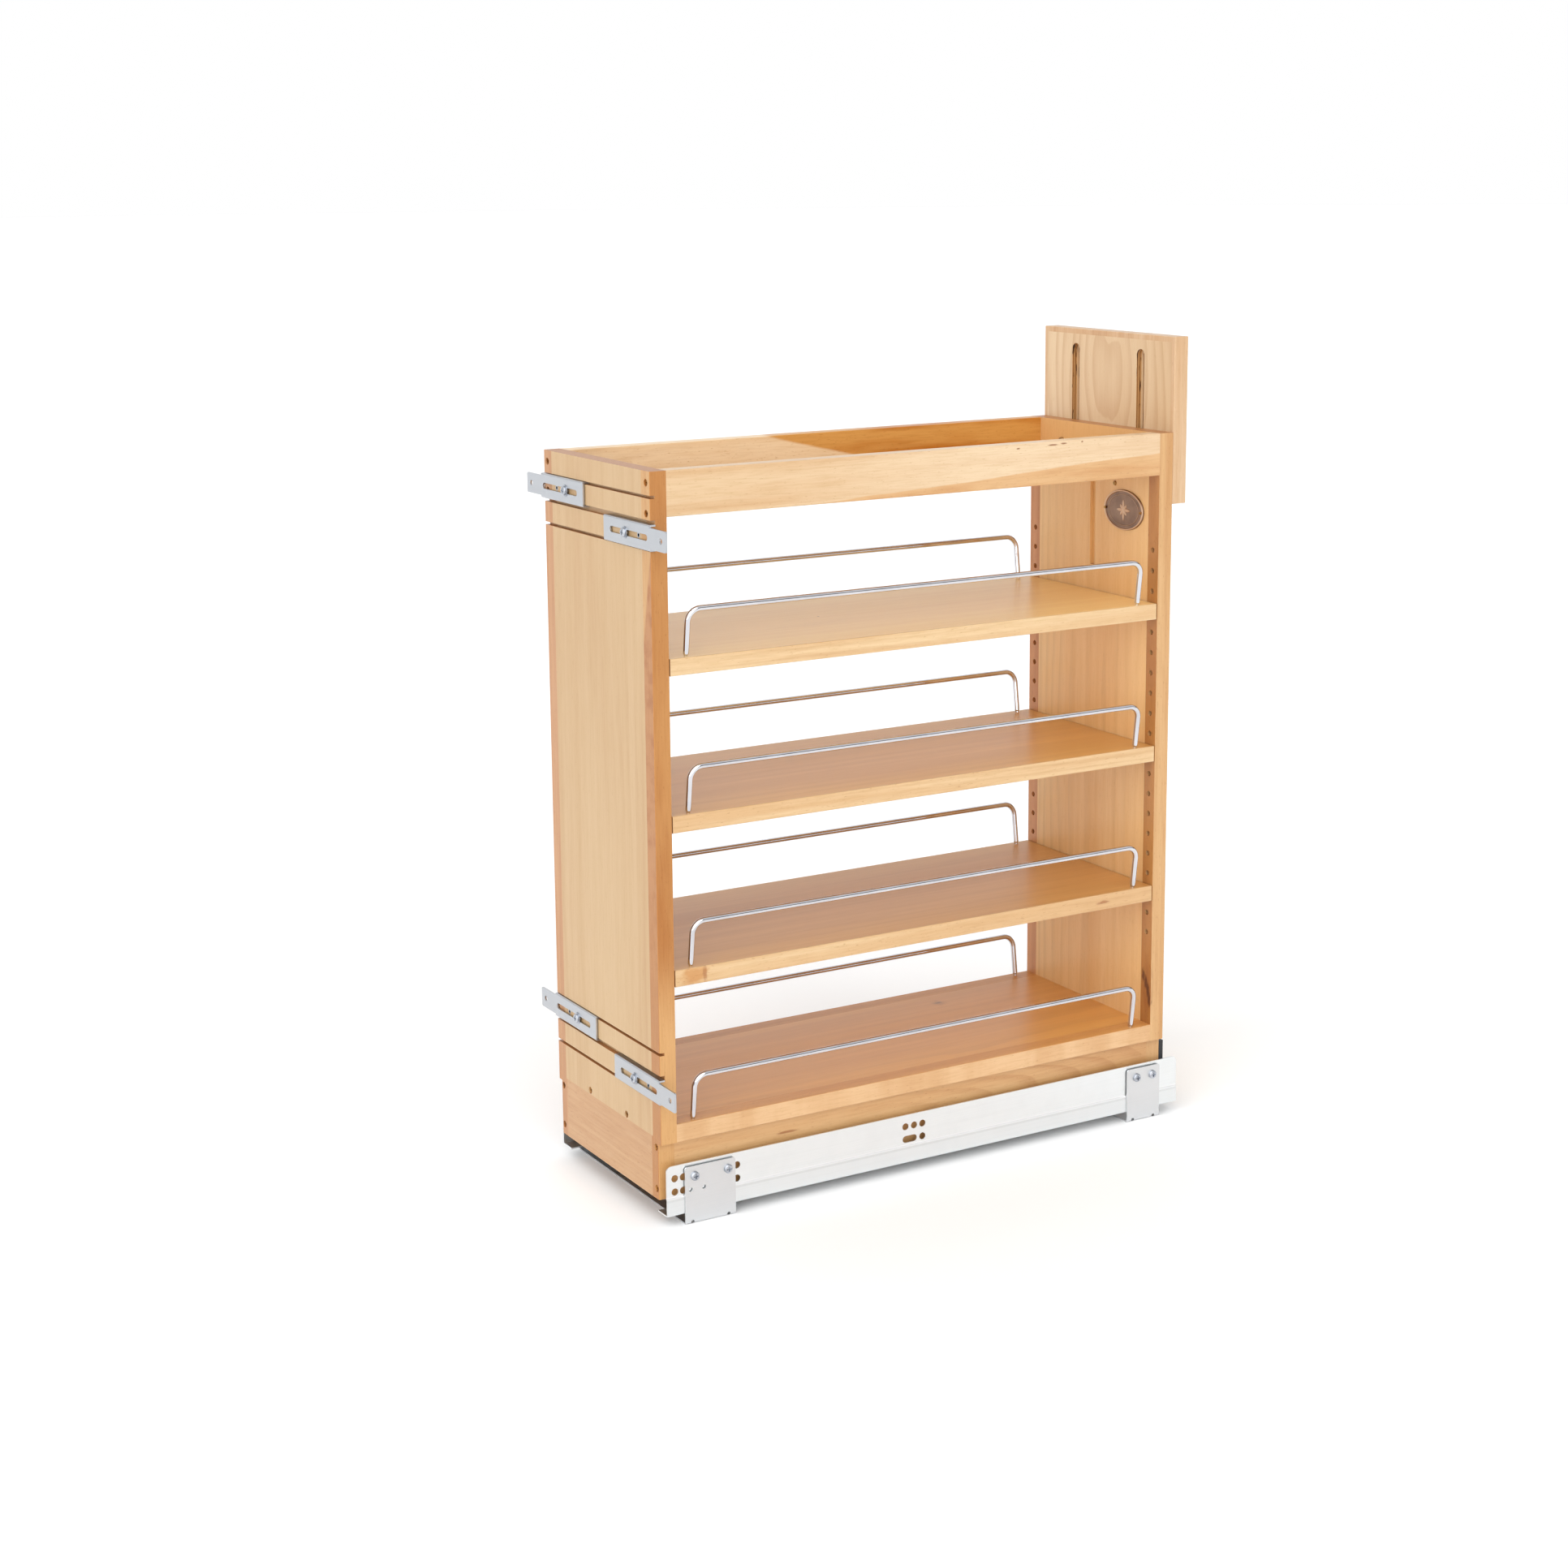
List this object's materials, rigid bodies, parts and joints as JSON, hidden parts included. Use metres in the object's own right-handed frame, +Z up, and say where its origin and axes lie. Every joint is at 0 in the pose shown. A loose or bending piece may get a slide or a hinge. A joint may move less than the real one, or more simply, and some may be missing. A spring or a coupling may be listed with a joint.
{
  "type": "pull-out cabinet organizer",
  "caption": "Narrow wooden pull-out organizer for a base cabinet: top tray, adjustable railed shelves, sliding door brackets, rear extension panel, undermount slides.",
  "frame": {"origin": "centre of the bounding box's base, on the cabinet floor under the floor brackets", "axes": "+Z up, -Y towards the cabinet door, the way the unit pulls out, X across the width"},
  "size_m": [0.2618, 0.5552, 0.7348],
  "materials": {
    "chrome_rod": "polished chrome plate on bent steel rod",
    "maple_band": "clear satin lacquer on a solid maple band",
    "shelf_veneer": "clear satin lacquer on maple veneer, grain along the shelf",
    "maple_board": "clear satin lacquer on a solid maple board, grain along its length",
    "maple_stile": "clear satin lacquer on solid maple, grain upright",
    "panel_veneer": "clear satin lacquer on maple veneer, grain upright",
    "slide_zinc": "bright zinc plate on rolled steel strip",
    "bracket_zinc": "satin zinc plate on pressed steel",
    "plated_screw": "zinc-plated steel",
    "brass_screw": "yellow-passivated screw",
    "bronze_badge": "aged bronze finish with a raised rim",
    "black_plastic": "moulded black plastic",
    "orange_plastic": "moulded orange plastic",
    "roller_nylon": "white nylon"
  },
  "bodies": {
    "base": {"cabinet_member_left": "slide_zinc", "cabinet_member_right": "slide_zinc", "front_floor_bracket": "bracket_zinc", "rear_floor_bracket": "bracket_zinc", "floor_bracket_screws": "plated_screw"},
    "box": {"badge": "bronze_badge", "badge_nails": "brass_screw", "bottom_rail_left": "chrome_rod", "bottom_rail_right": "chrome_rod", "bottom_shelf": "shelf_veneer", "bottom_shelf_band_left": "maple_band", "bottom_shelf_band_right": "maple_band", "door_bracket_inserts": "brass_screw", "door_bracket_screws": "plated_screw", "drawer_member_left": "slide_zinc", "drawer_member_right": "slide_zinc", "extension_clamp_nuts": "plated_screw", "extension_clamp_screws": "brass_screw", "front_cross_board": "maple_board", "front_panel": "panel_veneer", "front_panel_screws": "brass_screw", "front_stile_left": "maple_stile", "front_stile_right": "maple_stile", "locking_clips": "orange_plastic", "rear_hooks": "black_plastic", "rear_panel": "panel_veneer", "rear_panel_screws": "brass_screw", "rear_stile_left": "maple_stile", "rear_stile_right": "maple_stile", "shelf_pins": "plated_screw", "skirt_left": "maple_board", "skirt_right": "maple_board", "tray_floor": "panel_veneer", "tray_rail_left": "maple_board", "tray_rail_right": "maple_board"},
    "middle_members": {"middle_member_left": "slide_zinc", "middle_member_right": "slide_zinc"},
    "lower_rollers": {"lower_roller_cages": "roller_nylon"},
    "upper_rollers": {"upper_roller_cages": "roller_nylon"},
    "extension": {"extension_edging": "maple_stile", "extension_panel": "panel_veneer"},
    "upper_left_bracket": {"door_bracket_upper_left": "bracket_zinc"},
    "upper_right_bracket": {"door_bracket_upper_right": "bracket_zinc"},
    "lower_left_bracket": {"door_bracket_lower_left": "bracket_zinc"},
    "lower_right_bracket": {"door_bracket_lower_right": "bracket_zinc"},
    "upper_shelf_unit": {"upper_rail_left": "chrome_rod", "upper_rail_right": "chrome_rod", "upper_shelf": "shelf_veneer", "upper_shelf_band_left": "maple_band", "upper_shelf_band_right": "maple_band"},
    "middle_shelf_unit": {"middle_rail_left": "chrome_rod", "middle_rail_right": "chrome_rod", "middle_shelf": "shelf_veneer", "middle_shelf_band_left": "maple_band", "middle_shelf_band_right": "maple_band"},
    "lower_shelf_unit": {"lower_rail_left": "chrome_rod", "lower_rail_right": "chrome_rod", "lower_shelf": "shelf_veneer", "lower_shelf_band_left": "maple_band", "lower_shelf_band_right": "maple_band"}
  },
  "joints": [
    {"name": "box_slide", "type": "slide", "parent": "base", "child": "box", "axis": [0, -1, 0], "range_m": [0, 0.52]},
    {"name": "middle_slide", "type": "slide", "parent": "base", "child": "middle_members", "axis": [0, -1, 0], "range_m": [0, 0.26]},
    {"name": "lower_roller_slide", "type": "slide", "parent": "base", "child": "lower_rollers", "axis": [0, -1, 0], "range_m": [0, 0.13]},
    {"name": "upper_roller_slide", "type": "slide", "parent": "base", "child": "upper_rollers", "axis": [0, -1, 0], "range_m": [0, 0.39]},
    {"name": "extension_height", "type": "slide", "parent": "box", "child": "extension", "axis": [0, 0, 1], "range_m": [-0.0876, 0.0251]},
    {"name": "upper_left_bracket_slide", "type": "slide", "parent": "box", "child": "upper_left_bracket", "axis": [1, 0, 0], "range_m": [-0.0206, 0.0417]},
    {"name": "upper_right_bracket_slide", "type": "slide", "parent": "box", "child": "upper_right_bracket", "axis": [1, 0, 0], "range_m": [-0.0381, 0.0242]},
    {"name": "lower_left_bracket_slide", "type": "slide", "parent": "box", "child": "lower_left_bracket", "axis": [1, 0, 0], "range_m": [-0.0228, 0.0395]},
    {"name": "lower_right_bracket_slide", "type": "slide", "parent": "box", "child": "lower_right_bracket", "axis": [1, 0, 0], "range_m": [-0.0382, 0.0241]},
    {"name": "upper_shelf_lift", "type": "slide", "parent": "box", "child": "upper_shelf_unit", "axis": [0, 0, 1], "range_m": [0, 0.06]},
    {"name": "middle_shelf_lift", "type": "slide", "parent": "box", "child": "middle_shelf_unit", "axis": [0, 0, 1], "range_m": [0, 0.06]},
    {"name": "lower_shelf_lift", "type": "slide", "parent": "box", "child": "lower_shelf_unit", "axis": [0, 0, 1], "range_m": [0, 0.06]}
  ],
  "couplings": [
    {"joint": "middle_slide", "follows": "box_slide", "ratio": 0.5},
    {"joint": "lower_roller_slide", "follows": "box_slide", "ratio": 0.25},
    {"joint": "upper_roller_slide", "follows": "box_slide", "ratio": 0.75}
  ]
}
